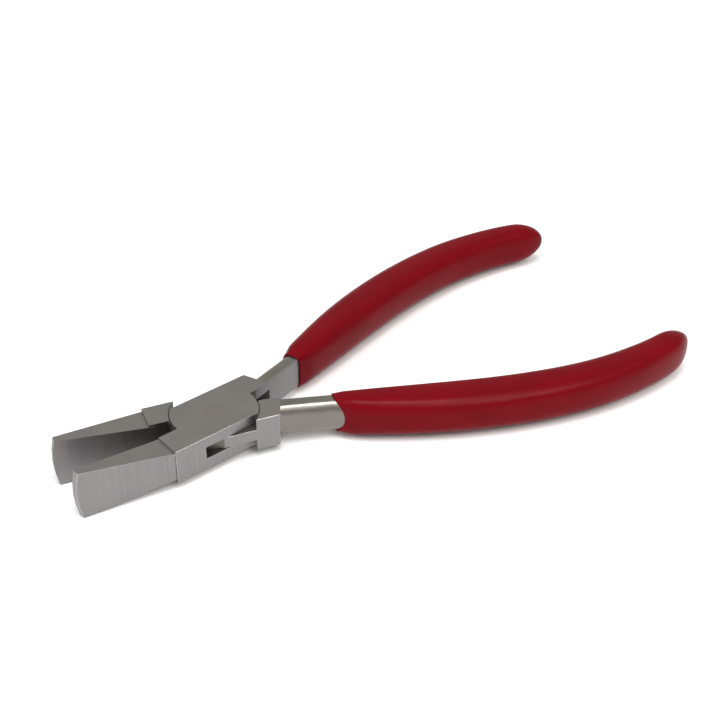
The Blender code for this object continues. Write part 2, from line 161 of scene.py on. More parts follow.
class ShaderGraph:
    """Builds the nodes of a material or of a shader node group, one short call each."""

    def __init__(self, tree: bpy.types.NodeTree) -> None:
        """Start on a node tree.

        Args:
            tree: the tree that takes the nodes.
        """
        self.tree = tree

    def node(self, kind: str, **settings: object) -> bpy.types.Node:
        """Add a node and set its properties.

        Args:
            kind: the node's type name.
            settings: properties of the node, by name.

        Returns:
            The new node.
        """
        made = self.tree.nodes.new(kind)
        for name, value in settings.items():
            setattr(made, name, value)
        return made

    def feed(self, socket: bpy.types.NodeSocket, value: object) -> None:
        """Give an input its value: a link from another socket, or a constant.

        Args:
            socket: the input.
            value: an output socket, a number, or a colour or vector.
        """
        if isinstance(value, bpy.types.NodeSocket):
            self.tree.links.new(value, socket)
        else:
            socket.default_value = value

    def math(self, operation: str, first: object, second: object = 0.0) -> bpy.types.NodeSocket:
        """Combine two values.

        Args:
            operation: the Math node's operation.
            first: a socket or a number.
            second: a socket or a number.

        Returns:
            The result, clamped to 0 to 1.
        """
        made = self.node("ShaderNodeMath", operation=operation, use_clamp=True)
        self.feed(made.inputs[0], first)
        self.feed(made.inputs[1], second)
        return made.outputs[0]

    def spread(self, value: object, low: float, high: float,
               to_low: float = 0.0, to_high: float = 1.0) -> bpy.types.NodeSocket:
        """Stretch a range of a value over another range, smoothly.

        Args:
            value: the socket to read.
            low: start of the range that is read.
            high: end of the range that is read.
            to_low: result at low.
            to_high: result at high.

        Returns:
            The stretched value.
        """
        made = self.node("ShaderNodeMapRange", interpolation_type="SMOOTHSTEP")
        limits = {"From Min": low, "From Max": high, "To Min": to_low, "To Max": to_high}
        for name, number in limits.items():
            made.inputs[name].default_value = number
        self.feed(made.inputs["Value"], value)
        return made.outputs["Result"]

    def noise(self, vector: bpy.types.NodeSocket, scale: float, detail: float = 2.0,
              rough: float = 0.5) -> bpy.types.NodeSocket:
        """Soft random values.

        Args:
            vector: the coordinates to read them at.
            scale: how fine they are, per metre of coordinate.
            detail: number of finer layers.
            rough: strength of the finer layers.

        Returns:
            A value of 0 to 1, mostly near a half.
        """
        made = self.node("ShaderNodeTexNoise")
        made.inputs["Scale"].default_value = scale
        made.inputs["Detail"].default_value = detail
        made.inputs["Roughness"].default_value = rough
        self.feed(made.inputs["Vector"], vector)
        return made.outputs["Fac"]

    def stretch(self, vector: bpy.types.NodeSocket, scale: tuple[float, float, float],
                turn: float = 0.0) -> bpy.types.NodeSocket:
        """Coordinates drawn out along an axis, so that a pattern becomes lines.

        Args:
            vector: the coordinates.
            scale: factor along each axis; a small one draws the pattern out along that axis.
            turn: turn about Z before stretching, in radians.

        Returns:
            The new coordinates.
        """
        made = self.node("ShaderNodeMapping", vector_type="TEXTURE" if turn else "POINT")
        if turn:
            made.inputs["Rotation"].default_value = (0.0, 0.0, turn)
            self.feed(made.inputs["Vector"], vector)
            return self.stretch(made.outputs["Vector"], scale)
        made.inputs["Scale"].default_value = scale
        self.feed(made.inputs["Vector"], vector)
        return made.outputs["Vector"]

    def mix(self, share: object, first: object, second: object) -> bpy.types.NodeSocket:
        """Blend two colours.

        Args:
            share: how much of the second, 0 to 1.
            first: a socket or a colour.
            second: a socket or a colour.

        Returns:
            The blended colour.
        """
        made = self.node("ShaderNodeMix", data_type="RGBA")
        self.feed(made.inputs[0], share)
        self.feed(made.inputs[6], first)
        self.feed(made.inputs[7], second)
        return made.outputs[2]

    def blend(self, share: object, first: object, second: object) -> bpy.types.NodeSocket:
        """Blend two values.

        Args:
            share: how much of the second, 0 to 1.
            first: a socket or a number.
            second: a socket or a number.

        Returns:
            The blended value.
        """
        made = self.node("ShaderNodeMix", data_type="FLOAT")
        self.feed(made.inputs[0], share)
        self.feed(made.inputs[2], first)
        self.feed(made.inputs[3], second)
        return made.outputs[0]

    def attribute(self, name: str) -> bpy.types.NodeSocket:
        """The value of one of the piece's own attributes.

        Args:
            name: the attribute's name.

        Returns:
            Its value.
        """
        return self.node("ShaderNodeAttribute", attribute_name=name).outputs["Fac"]

    def facing_up(self, low: float = 0.55, high: float = 0.85) -> bpy.types.NodeSocket:
        """A mask that is 1 on the upper and lower flats and 0 on upright faces.

        Args:
            low: steepness of a face, as the height of its normal, where the mask starts.
            high: steepness where the mask is full.

        Returns:
            The mask.
        """
        normal = self.node("ShaderNodeNewGeometry").outputs["Normal"]
        split = self.node("ShaderNodeSeparateXYZ")
        self.feed(split.inputs[0], normal)
        upright = self.node("ShaderNodeMath", operation="ABSOLUTE")
        self.feed(upright.inputs[0], split.outputs["Z"])
        return self.spread(upright.outputs[0], low, high)

    def use(self, group: bpy.types.NodeTree, **values: object) -> bpy.types.Node:
        """Place a shared effect.

        Args:
            group: the shader node group.
            values: its inputs, by name.

        Returns:
            The group's node.
        """
        made = self.node("ShaderNodeGroup", node_tree=group)
        for name, value in values.items():
            self.feed(made.inputs[name], value)
        return made


def new_group(name: str, inputs: dict[str, str], outputs: dict[str, str]) -> tuple:
    """Start a shader node group.

    Args:
        name: the group's name.
        inputs: socket types by name.
        outputs: socket types by name.

    Returns:
        The group, its graph, its input node and its output node.
    """
    group = bpy.data.node_groups.new(name, "ShaderNodeTree")
    for label, kind in inputs.items():
        group.interface.new_socket(label, in_out="INPUT", socket_type=kind)
    for label, kind in outputs.items():
        group.interface.new_socket(label, in_out="OUTPUT", socket_type=kind)
    graph = ShaderGraph(group)
    return group, graph, graph.node("NodeGroupInput"), graph.node("NodeGroupOutput")


class SharedEffects:
    """The shader node groups that more than one material uses, each built once."""

    def __init__(self) -> None:
        """Build every group."""
        self.belt_grain = self._belt_grain()
        self.cloudiness = self._cloudiness()
        self.scratches = self._scratches()

    @staticmethod
    def _belt_grain() -> bpy.types.NodeTree:
        """Fine parallel lines of a grinding belt, with a few coarser ones among them.

        Returns:
            A group that turns stretched coordinates into lines of 0 to 1.
        """
        group, graph, given, result = new_group(
            "belt_grain", {"Vector": "NodeSocketVector"}, {"Lines": "NodeSocketFloat"})
        vector = given.outputs["Vector"]
        fine = graph.noise(vector, 1.0, detail=3.0, rough=0.7)
        coarse = graph.spread(graph.noise(vector, 0.22, detail=1.0), 0.35, 0.65)
        graph.feed(result.inputs["Lines"], graph.blend(0.35, graph.spread(fine, 0.3, 0.7), coarse))
        return group

    @staticmethod
    def _cloudiness() -> bpy.types.NodeTree:
        """Broad soft patches, for handling marks and for slight changes of colour.

        Returns:
            A group that turns coordinates into a mask of 0 to 1.
        """
        group, graph, given, result = new_group(
            "cloudiness", {"Vector": "NodeSocketVector"}, {"Mask": "NodeSocketFloat"})
        vector = given.outputs["Vector"]
        broad = graph.noise(vector, 1.0, detail=4.0, rough=0.55)
        graph.feed(result.inputs["Mask"], graph.spread(broad, 0.32, 0.68))
        return group

    @staticmethod
    def _scratches() -> bpy.types.NodeTree:
        """Sparse hairline scratches in two directions.

        Returns:
            A group that turns coordinates into a mask, 1 inside a scratch.
        """
        group, graph, given, result = new_group(
            "hairline_scratches", {"Vector": "NodeSocketVector"}, {"Mask": "NodeSocketFloat"})
        marks = []
        for turn, seed_shift in ((0.5, 0.0), (-0.9, 7.3)):
            shift = graph.node("ShaderNodeMapping")
            shift.inputs["Location"].default_value = (seed_shift, seed_shift, 0.0)
            graph.feed(shift.inputs["Vector"], given.outputs["Vector"])
            drawn = graph.stretch(shift.outputs["Vector"], (2.5, 0.05, 2.5), turn=turn)
            marks.append(graph.spread(graph.noise(drawn, 1.0, detail=0.0), 0.84, 0.90))
        graph.feed(result.inputs["Mask"], graph.math("MAXIMUM", marks[0], marks[1]))
        return group


@dataclass(frozen=True)
class SteelFinish:
    """Belt-ground tool steel, with polished rounded handles.

    The brush lines run across the tool on its upper and lower flats and upright on its sides. Its colours
    also carry painted light: a painted highlight on the broken edges and the handle's rounding, and painted
    shade on the handle's side, in the joint and on the jaws near it.
    """

    name: str = "ground_tool_steel"
    ground: tuple[float, float, float, float] = (0.27, 0.258, 0.268, 1.0)
    ground_dark: tuple[float, float, float, float] = (0.205, 0.195, 0.203, 1.0)
    flat: tuple[float, float, float, float] = (0.33, 0.314, 0.296, 1.0)
    flat_dark: tuple[float, float, float, float] = (0.27, 0.255, 0.238, 1.0)
    # The polished handle's colours by facing: the rounding lighter as a painted highlight, the upright side
    # darker as painted shade.
    polished: tuple[float, float, float, float] = (0.265, 0.245, 0.215, 1.0)
    polished_side_painted_shade: tuple[float, float, float, float] = (0.185, 0.17, 0.155, 1.0)
    olive: tuple[float, float, float, float] = (0.37, 0.34, 0.285, 1.0)
    # Lighter colour of scratches and rubbed edges; on the edges it is partly a painted highlight.
    edge: tuple[float, float, float, float] = (0.46, 0.445, 0.435, 1.0)
    stain: tuple[float, float, float, float] = (0.31, 0.235, 0.20, 1.0)
    # Dark colour of the painted shade inside the joint and on the gripping faces near it.
    joint_shade_colour: tuple[float, float, float, float] = (0.13, 0.115, 0.105, 1.0)
    line_pitch: float = 0.11 * MM
    line_length: float = 9.0 * MM
    cloud_size: float = 9.0 * MM
    stain_radius: float = 3.4 * MM
    stain_core: float = 0.4
    stain_on_lever: float = 0.38
    stain_on_rivet: float = 0.45
    # The painted shade on the gripping faces grows between these two places along the jaw, towards the
    # joint.
    darker_from: float = -33.0 * MM
    darker_to: float = -12.0 * MM
    joint_shade_strength: float = 0.85
    level_line_share: float = 3.0
    fine_clouds: float = 9.0
    scratch_share: float = 0.6
    level_contrast: float = 0.55
    cloud_tint: float = 0.25
    mottle_tint: float = 0.18
    polish_tint: float = 0.2
    scratch_tint: float = 0.2
    least_wear_and_highlight: float = 0.55
    rough_ground: tuple[float, float] = (0.40, 0.48)
    rough_in_lines: float = 0.56
    rough_polished: tuple[float, float] = (0.30, 0.36)
    rough_edge: float = 0.26
    grain_strength: float = 0.5
    grain_depth: float = 0.004 * MM
    scratch_depth: float = 0.6
    polished_relief: float = 0.15

    def material(self, effects: SharedEffects, stained: bool = False) -> bpy.types.Material:
        """Make the material.

        Args:
            effects: the shared node groups.
            stained: whether the faint stain around the rivet shows strongly, as on the rivet itself.

        Returns:
            The finished material.
        """
        made = bpy.data.materials.new(self.name + ("_stained" if stained else ""))
        made.use_nodes = True
        graph = ShaderGraph(made.node_tree)
        shader = made.node_tree.nodes["Principled BSDF"]
        place = graph.node("ShaderNodeTexCoord").outputs["Object"]
        up = graph.facing_up()
        # The bevel faces, which get a lighter colour that is partly a painted highlight.
        edge = graph.attribute(Zone.WORN_EDGE_AND_HIGHLIGHT.value)
        bare = graph.attribute(Zone.BARE_HANDLE.value)
        # Painted shade: the gripping faces darken towards the joint, and the faces inside the joint are
        # darkened.
        along_jaw = graph.node("ShaderNodeSeparateXYZ")
        graph.feed(along_jaw.inputs[0], place)
        near_joint = graph.spread(along_jaw.outputs["X"], self.darker_from, self.darker_to)
        painted_shade = graph.math("MULTIPLY", graph.attribute(Zone.GRIPPING_FACE.value), near_joint)
        painted_shade = graph.math("MAXIMUM", graph.attribute(Zone.JOINT_SHADED.value), painted_shade)
        joint_shaded = graph.math("MULTIPLY", painted_shade, self.joint_shade_strength)

        across, along = 1 / self.line_pitch, 1 / self.line_length
        upright = graph.use(effects.belt_grain, Vector=graph.stretch(place, (across, across, along)))
        across_flat = (across, along * self.level_line_share, across)
        level = graph.use(effects.belt_grain, Vector=graph.stretch(place, across_flat))
        lines = graph.blend(up, upright.outputs[0], level.outputs[0])
        cloud_scale = 1 / self.cloud_size
        clouds = graph.use(effects.cloudiness, Vector=graph.stretch(place, (cloud_scale,) * 3)).outputs[0]
        fine_scale = cloud_scale * self.fine_clouds
        mottle = graph.use(effects.cloudiness, Vector=graph.stretch(place, (fine_scale,) * 3)).outputs[0]
        scratch = graph.use(effects.scratches,
                            Vector=graph.stretch(place, (fine_scale * self.scratch_share,) * 3)).outputs[0]

        sides = graph.mix(lines, self.ground_dark, self.ground)
        flats = graph.mix(graph.math("MULTIPLY", lines, self.level_contrast), self.flat, self.flat_dark)
        colour = graph.mix(up, sides, flats)
        colour = graph.mix(graph.math("MULTIPLY", clouds, self.cloud_tint), colour, self.flat)
        colour = graph.mix(graph.math("MULTIPLY", mottle, self.mottle_tint), colour, self.flat_dark)
        # Painted light on the polished handle: a painted highlight on its rounding and painted shade on its
        # upright side, chosen by which way each face looks.
        polished = graph.mix(graph.facing_up(0.15, 0.6), self.polished_side_painted_shade, self.polished)
        polished = graph.mix(graph.math("MULTIPLY", clouds, self.polish_tint), polished, self.flat_dark)
        polished = graph.mix(up, polished, graph.mix(clouds, self.olive, self.flat_dark))
        colour = graph.mix(bare, colour, polished)
        # Painted shade in the joint and on the jaws' gripping faces near it.
        colour = graph.mix(joint_shaded, colour, self.joint_shade_colour)
        colour = graph.mix(self._stain_mask(graph, place, clouds, stained), colour, self.stain)
        colour = graph.mix(graph.math("MULTIPLY", scratch, self.scratch_tint), colour, self.edge)
        # Rubbed edges painted lighter, partly as a painted highlight along them.
        wear_and_highlight = graph.math("MULTIPLY", edge, graph.spread(mottle, 0.0, 1.0, self.least_wear_and_highlight, 1.0))
        colour = graph.mix(wear_and_highlight, colour, self.edge)
        graph.feed(shader.inputs["Base Color"], colour)
        shader.inputs["Metallic"].default_value = 1.0

        rough = graph.blend(clouds, *self.rough_ground)
        rough = graph.blend(graph.math("MULTIPLY", lines, 0.5), rough, self.rough_in_lines)
        rough = graph.blend(bare, rough, graph.blend(mottle, *self.rough_polished))
        rough = graph.blend(edge, rough, self.rough_edge)
        graph.feed(shader.inputs["Roughness"], rough)

        bump = graph.node("ShaderNodeBump")
        bump.inputs["Strength"].default_value = self.grain_strength
        bump.inputs["Distance"].default_value = self.grain_depth
        height = graph.math("SUBTRACT", lines, graph.math("MULTIPLY", scratch, self.scratch_depth))
        smooth_height = graph.math("MULTIPLY", mottle, self.polished_relief)
        graph.feed(bump.inputs["Height"], graph.blend(bare, height, smooth_height))
        graph.feed(shader.inputs["Normal"], bump.outputs["Normal"])
        return made

    def _stain_mask(self, graph: ShaderGraph, place: bpy.types.NodeSocket,
                    clouds: bpy.types.NodeSocket, strong: bool) -> bpy.types.NodeSocket:
        """The faint brown stain around the rivet's ground end.

        Args:
            graph: the material's graph.
            place: object coordinates.
            clouds: a soft mask that breaks the stain up.
            strong: whether to show it strongly.

        Returns:
            The mask.
        """
        flat = graph.stretch(place, (1.0, 1.0, 0.0))
        distance = graph.node("ShaderNodeVectorMath", operation="LENGTH")
        graph.feed(distance.inputs[0], flat)
        core = self.stain_radius * self.stain_core
        near = graph.spread(distance.outputs["Value"], self.stain_radius, core)
        strength = self.stain_on_rivet if strong else self.stain_on_lever
        return graph.math("MULTIPLY", near, graph.spread(clouds, 0.2, 0.8, 0.05, strength))


@dataclass(frozen=True)
class DippedPlastic:
    """Deep red dipped vinyl: smooth, softly glossy, a little uneven."""

    name: str = "dipped_red_vinyl"
    red: tuple[float, float, float, float] = (0.15, 0.0012, 0.005, 1.0)
    deep: tuple[float, float, float, float] = (0.105, 0.0008, 0.004, 1.0)
    dusty: tuple[float, float, float, float] = (0.19, 0.014, 0.016, 1.0)
    ripple_size: float = 6.0 * MM
    peel_size: float = 0.9 * MM
    ripple_depth: float = 0.16 * MM
    ripple_strength: float = 0.35
    ripple_tint: float = 0.45
    dust_tint: float = 0.10
    scuff_tint: float = 0.18
    peel_share: float = 0.06
    rough: tuple[float, float] = (0.27, 0.35)
    gloss: float = 0.07

    def material(self, effects: SharedEffects) -> bpy.types.Material:
        """Make the material.

        Args:
            effects: the shared node groups.

        Returns:
            The finished material.
        """
        made = bpy.data.materials.new(self.name)
        made.use_nodes = True
        graph = ShaderGraph(made.node_tree)
        shader = made.node_tree.nodes["Principled BSDF"]
        place = graph.node("ShaderNodeTexCoord").outputs["Object"]
        ripple_scale, peel_scale = 1 / self.ripple_size, 1 / self.peel_size
        ripple = graph.use(effects.cloudiness,
                           Vector=graph.stretch(place, (ripple_scale * 0.5, ripple_scale, ripple_scale)))
        peel = graph.noise(place, peel_scale, detail=1.0)
        scuffs = graph.use(effects.scratches, Vector=graph.stretch(place, (ripple_scale * 3,) * 3))

        colour = graph.mix(graph.math("MULTIPLY", ripple.outputs[0], self.ripple_tint), self.red, self.deep)
        dust = graph.math("MULTIPLY", graph.spread(peel, 0.55, 0.8), self.dust_tint)
        colour = graph.mix(dust, colour, self.dusty)
        colour = graph.mix(graph.math("MULTIPLY", scuffs.outputs[0], self.scuff_tint), colour, self.dusty)
        graph.feed(shader.inputs["Base Color"], colour)
        graph.feed(shader.inputs["Roughness"], graph.blend(ripple.outputs[0], *self.rough))
        shader.inputs["Specular IOR Level"].default_value = self.gloss

        bump = graph.node("ShaderNodeBump")
        bump.inputs["Strength"].default_value = self.ripple_strength
        bump.inputs["Distance"].default_value = self.ripple_depth
        graph.feed(bump.inputs["Height"], graph.blend(self.peel_share, ripple.outputs[0], peel))
        graph.feed(shader.inputs["Normal"], bump.outputs["Normal"])
        return made


# ---- pieces ----

@dataclass
class GroundLever:
    """One forged lever, from its jaw to the end of its handle, with its edges just broken."""

    name: str
    node: str
    body: str
    hand: Hand
    finish: bpy.types.Material
    edge_break: float = 0.08 * MM
    edge_segments: int = 2
    sharp: float = math.radians(33)
    narrowest: float = 0.25 * MM
    bore_rim: float = 3.0 * MM
    tip_start: float = 33.0 * MM
    joint_reach: float = 10.5 * MM
    handle_start: float = 14.2 * MM
    cheek: float = 2.5 * MM
    joint_end: float = 15.5 * MM
    flats_margin: float = 0.1 * MM
    facing: float = 0.85
    steep: float = 0.75
    merge_after_bevel: float = 0.003 * MM

    def build(self) -> bpy.types.Object:
        """Model the lever on a copy of its solid.

        Returns:
            The dressed lever, riding on its body.
        """
        lever = self._copy_of_node()
        self._break_edges(lever)
        self._mark_handle(lever)
        self._mark_joint_shade(lever)
        shade_flats(lever, FLAT_FACES)
        lever.data.materials.clear()
        lever.data.materials.append(self.finish)
        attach(lever, self.body)
        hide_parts(self.node)
        return lever

    def _copy_of_node(self) -> bpy.types.Object:
        """Copy the solid and merge it, so that each flat is one face.

        Returns:
            The copy, with an attribute for each zone.
        """
        lever = bpy.data.objects.new(self.name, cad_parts[self.node].data.copy())
        bpy.context.scene.collection.objects.link(lever)
        for zone in Zone:
            lever.data.attributes.new(zone.value, "FLOAT", "FACE")
        make_active(lever)
        bpy.ops.object.mode_set(mode="EDIT")
        bpy.ops.mesh.select_all(action="SELECT")
        bpy.ops.mesh.remove_doubles(threshold=MERGE_DISTANCE)
        bpy.ops.mesh.dissolve_limited(angle_limit=math.radians(0.6))
        bpy.ops.object.mode_set(mode="OBJECT")
        return lever

    def _breakable(self, edge: bmesh.types.BMEdge) -> bool:
        """Whether an edge has been broken: the long outer edges, and the crowned edges of the tip.

        Args:
            edge: an edge of the merged copy.

        Returns:
            True for sharp edges away from the gripping faces, the rivet's bore and narrow faces.
        """
        if len(edge.link_faces) != 2 or edge.calc_face_angle() < self.sharp:
            return False
        middle = (edge.verts[0].co + edge.verts[1].co) / 2
        if middle.to_2d().length < self.bore_rim or self._beside_parting(edge, middle):
            return False
        along = (edge.verts[1].co - edge.verts[0].co).normalized()
        if abs(along.y) > self.steep and middle.x > -self.tip_start:
            return False
        for face in edge.link_faces:
            longest = max(e.calc_length() for e in face.edges)
            if face.calc_area() / longest < self.narrowest:
                return False
        return True

    def _beside_parting(self, edge: bmesh.types.BMEdge, middle: Vector) -> bool:
        """Whether an edge bounds a face that looks at the other lever.

        Args:
            edge: an edge of the merged copy.
            middle: the edge's middle.

        Returns:
            True beside the gripping face, the parting faces and the tang's inner face.
        """
        inward = self.hand.value if middle.x < 0 else -self.hand.value
        if abs(middle.x) < self.joint_reach:
            return False
        return any(face.normal.y * inward > self.facing for face in edge.link_faces)

    def _break_edges(self, lever: bpy.types.Object) -> None:
        """Bevel the crisp edges and mark the new faces as rubbed edges, which the finish paints lighter,
        partly as a painted highlight.

        Args:
            lever: the merged copy.
        """
        make_active(lever)
        bpy.ops.object.mode_set(mode="EDIT")
        bpy.ops.mesh.select_mode(type="EDGE")
        bpy.ops.mesh.select_all(action="DESELECT")
        bm = edit_bmesh(lever)
        for edge in bm.edges:
            edge.select_set(self._breakable(edge))
        bmesh.update_edit_mesh(lever.data)
        bpy.ops.mesh.bevel(offset=self.edge_break, segments=self.edge_segments, profile=0.5,
                           clamp_overlap=False)
        bm = edit_bmesh(lever)
        worn_and_highlit = bm.faces.layers.float[Zone.WORN_EDGE_AND_HIGHLIGHT.value]
        for face in bm.faces:
            width = face.calc_area() / max(edge.calc_length() for edge in face.edges)
            face[worn_and_highlit] = 1.0 if face.select and width < self.edge_break else 0.0
        bmesh.update_edit_mesh(lever.data)
        bpy.ops.mesh.select_all(action="SELECT")
        bpy.ops.mesh.remove_doubles(threshold=self.merge_after_bevel)
        bpy.ops.object.mode_set(mode="OBJECT")

    def _mark_handle(self, lever: bpy.types.Object) -> None:
        """Mark the polished faces: the handle behind the joint, apart from its ground inner face.

        Args:
            lever: the lever with its edges broken.
        """
        handle = TANG_ANGLE + HALF_OPENING
        along = Vector((math.cos(handle), self.hand.value * math.sin(handle)))
        outward = Vector((-math.sin(handle), self.hand.value * math.cos(handle)))
        bare = lever.data.attributes[Zone.BARE_HANDLE.value].data
        for face in lever.data.polygons:
            behind = Vector(face.center.to_2d()).dot(along) > self.handle_start
            ground = Vector(face.normal.to_2d()).dot(outward) < -0.5
            inset = self.flats_margin < face.center.z < JOINT_THICKNESS - self.flats_margin
            bare[face.index].value = 1.0 if behind and not ground and inset else 0.0

    def _mark_joint_shade(self, lever: bpy.types.Object) -> None:
        """Mark the faces that rub or look at the other lever inside the joint, which get painted shade, and
        the gripping faces, whose painted shade grows towards the joint.

        Args:
            lever: the lever with its edges broken.
        """
        joint_shaded = lever.data.attributes[Zone.JOINT_SHADED.value].data
        gripping = lever.data.attributes[Zone.GRIPPING_FACE.value].data
        for face in lever.data.polygons:
            spot = face.center
            reach = spot.to_2d().length
            level = abs(face.normal.z) > 0.9 and self.cheek < spot.z < JOINT_THICKNESS - self.cheek
            inner_wall = abs(face.normal.z) < 0.1 and face.normal.to_2d().dot(spot.to_2d()) < 0
            inward = self._looks_inward(face)
            # Faces hidden in the joint get painted shade; the gripping faces get it growing towards the
            # joint.
            hidden = reach < self.joint_end and (level or inner_wall or inward)
            joint_shaded[face.index].value = 1.0 if hidden else 0.0
            gripping[face.index].value = 1.0 if inward else 0.0

    def _looks_inward(self, face: bpy.types.MeshPolygon) -> bool:
        """Whether an upright face in front of the joint looks at the other lever's jaw."""
        return face.center.x < 0 and face.normal.y * self.hand.value > self.facing


@dataclass
class FlushRivet:
    """The pivot: a shank whose two swelled ends fill the bore and are ground flush."""

    name: str
    body: str
    finish: bpy.types.Material
    swell: float = 0.07 * MM
    head_depth: float = 0.6 * MM
    head_ring: float = 0.25 * MM
    sides: int = 96

    def build(self) -> bpy.types.Object:
        """Model the rivet.

        Returns:
            The dressed rivet, riding on the box half's body.
        """
        deselect_all()
        shank = JOINT_THICKNESS - 2 * self.head_depth
        bpy.ops.mesh.primitive_cylinder_add(vertices=self.sides, radius=RIVET_RADIUS, depth=shank,
                                            location=(0, 0, MID_PLANE))
        rivet = bpy.context.active_object
        rivet.name = self.name
        bpy.ops.object.transform_apply(location=True, rotation=True, scale=True)
        for way in (1, -1):
            self._swell_end(rivet, way)
        shade_flats(rivet, FLAT_FACES)
        rivet.data.materials.append(self.finish)
        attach(rivet, self.body)
        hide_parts("pivot_rivet")
        return rivet

    def _swell_end(self, rivet: bpy.types.Object, way: int) -> None:
        """Extrude one end of the shank out to the joint's face, a little wider.

        Args:
            rivet: the shank.
            way: 1 for the upper end, -1 for the lower.
        """
        make_active(rivet)
        bpy.ops.object.mode_set(mode="EDIT")
        bpy.ops.mesh.select_mode(type="FACE")
        bpy.ops.mesh.select_all(action="DESELECT")
        for face in edit_bmesh(rivet).faces:
            face.select_set(face.normal.z * way > 0.9)
        bpy.ops.mesh.extrude_region_move(TRANSFORM_OT_translate={"value": (0, 0, way * self.head_depth)})
        widen = (RIVET_RADIUS + self.swell) / RIVET_RADIUS
        bpy.ops.transform.resize(value=(widen, widen, 1.0),
                                 center_override=(0, 0, MID_PLANE + way * JOINT_THICKNESS / 2))
        bpy.ops.mesh.inset(thickness=self.head_ring)
        bpy.ops.object.mode_set(mode="OBJECT")


@dataclass(frozen=True)
class Section:
    """A cross-section of a handle: its middle, the way it faces, and a rounded-square outline.

    The squareness is that of its outer side, then of its inner side.
    """

    centre: Vector
    along: Vector
    half_width: float
    half_height: float
    squareness: tuple[float, float]
    set_back: float = 0.0

    def point(self, turn: float, lean: float, bow: float) -> Vector:
        """A point of the outline.

        Args:
            turn: the angle round the outline, 0 on the handle's outer side.
            lean: 1 where the outer side is set back, -1 where the inner side is.
            bow: how much less the set-back is at the top and bottom, as a share.

        Returns:
            The point, in the frame's metres.
        """
        power = 2 / self.squareness[0 if math.cos(turn) > 0 else 1]
        side = math.copysign(abs(math.cos(turn)) ** power, math.cos(turn))
        up = math.copysign(abs(math.sin(turn)) ** power, math.sin(turn))
        across = Vector((-self.along.y, self.along.x))
        back = self.set_back * (0.5 + 0.5 * lean * side) * (1 - bow * up * up)
        flat = self.centre + across * (self.half_width * side) + self.along * back
        return Vector((flat.x, flat.y, MID_PLANE + self.half_height * up))


